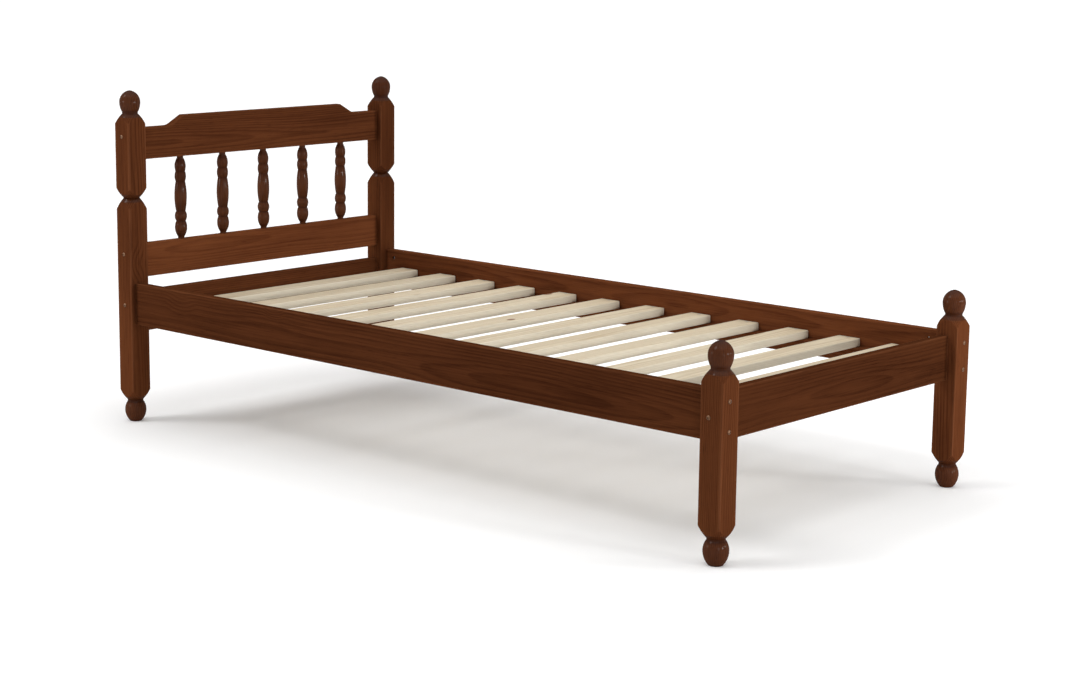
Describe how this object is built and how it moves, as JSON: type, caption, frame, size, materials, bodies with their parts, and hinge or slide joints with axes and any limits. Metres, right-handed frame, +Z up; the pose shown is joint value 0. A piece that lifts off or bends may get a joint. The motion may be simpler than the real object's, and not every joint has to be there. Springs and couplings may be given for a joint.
{
  "type": "single bed",
  "caption": "Single bed frame in dark stained pine with turned ball-finial posts, a spindle headboard with a raised crest, plain side rails and a bare slat deck.",
  "frame": {"origin": "on the floor under the middle of the bed", "axes": "+X to the right as seen from the foot, +Y along the bed towards the head, +Z up"},
  "size_m": [0.9728, 1.9928, 0.878],
  "materials": {
    "stained_pine": "dark reddish brown stain under satin varnish",
    "bare_pine": "planed, unfinished",
    "dowel_wood": "plain",
    "bolt_steel": "bronzed",
    "zinc_steel": "zinc plate"
  },
  "bodies": {
    "root": {"foot_post_left": "stained_pine", "foot_post_right": "stained_pine", "head_post_left": "stained_pine", "head_post_right": "stained_pine", "side_rail_left": "stained_pine", "side_rail_right": "stained_pine", "foot_end_rail": "stained_pine", "head_end_rail": "stained_pine", "headboard_lower_rail": "stained_pine", "headboard_top_rail": "stained_pine", "slat_ledger_left": "stained_pine", "slat_ledger_right": "stained_pine", "spindle_1": "stained_pine", "spindle_2": "stained_pine", "spindle_3": "stained_pine", "spindle_4": "stained_pine", "spindle_5": "stained_pine", "slat_01": "bare_pine", "slat_02": "bare_pine", "slat_03": "bare_pine", "slat_04": "bare_pine", "slat_05": "bare_pine", "slat_06": "bare_pine", "slat_07": "bare_pine", "slat_08": "bare_pine", "slat_09": "bare_pine", "slat_10": "bare_pine", "slat_11": "bare_pine", "slat_12": "bare_pine", "end_rail_dowels": "dowel_wood", "headboard_dowels": "dowel_wood", "side_rail_bolts": "bolt_steel", "end_rail_bolts": "bolt_steel", "headboard_bolts": "bolt_steel", "side_rail_barrel_nuts": "zinc_steel", "end_rail_barrel_nuts": "zinc_steel", "headboard_barrel_nuts": "zinc_steel", "ledger_screws": "zinc_steel", "slat_screws": "zinc_steel"}
  },
  "joints": []
}
